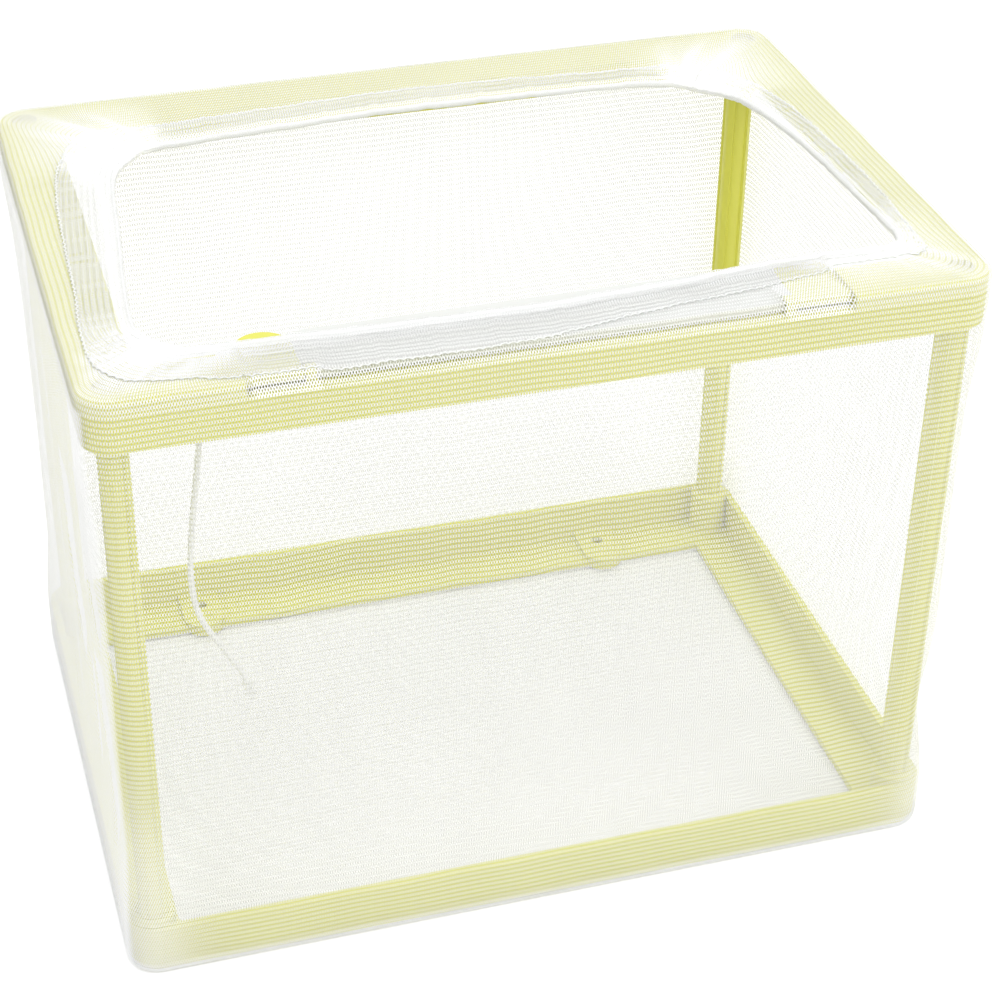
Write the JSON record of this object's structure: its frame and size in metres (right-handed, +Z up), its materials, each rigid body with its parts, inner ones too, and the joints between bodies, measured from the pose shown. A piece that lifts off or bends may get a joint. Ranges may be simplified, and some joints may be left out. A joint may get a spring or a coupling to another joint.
{
  "type": "fish breeding box",
  "caption": "Hang-on fish breeding box: fine net bag with an elastic hem over a clip-together plastic frame of rings and posts, with a folding hanger.",
  "frame": {"origin": "middle of the underside of the net floor, where the box stands", "axes": "+X to the right along the long front bar, +Y to the back, +Z up; the hanger is on the front bar"},
  "size_m": [0.1712, 0.1212, 0.1348],
  "materials": {
    "lime_plastic": "satin translucent lime yellow moulding",
    "white_plastic": "milky white sheet",
    "net": "fine white knitted net, open mesh",
    "elastic": "white braided elastic in a net hem",
    "drawstring": "white twisted cotton cord"
  },
  "bodies": {
    "frame": {"top_ring": "lime_plastic", "bottom_ring": "lime_plastic", "post_front_left": "lime_plastic", "post_front_right": "lime_plastic", "post_back_left": "lime_plastic", "post_back_right": "lime_plastic", "net_floor": "net", "net_front": "net", "net_back": "net", "net_left": "net", "net_right": "net", "net_rim_front": "net", "net_rim_back": "net", "net_rim_left": "net", "net_rim_right": "net", "hem_cord": "elastic", "drawstring_tail": "drawstring", "drawstring_knot": "drawstring"},
    "hanger": {"hanger_arm_left": "lime_plastic", "hanger_arm_right": "lime_plastic", "hanger_plate": "white_plastic"}
  },
  "joints": [
    {"name": "hanger_swing", "type": "hinge", "parent": "frame", "child": "hanger", "pos_m": [0, -0.0566, 0.1321], "axis": [1, 0, 0], "range_deg": [0, 180], "deforming": ["net_rim_front", "hem_cord"]}
  ]
}
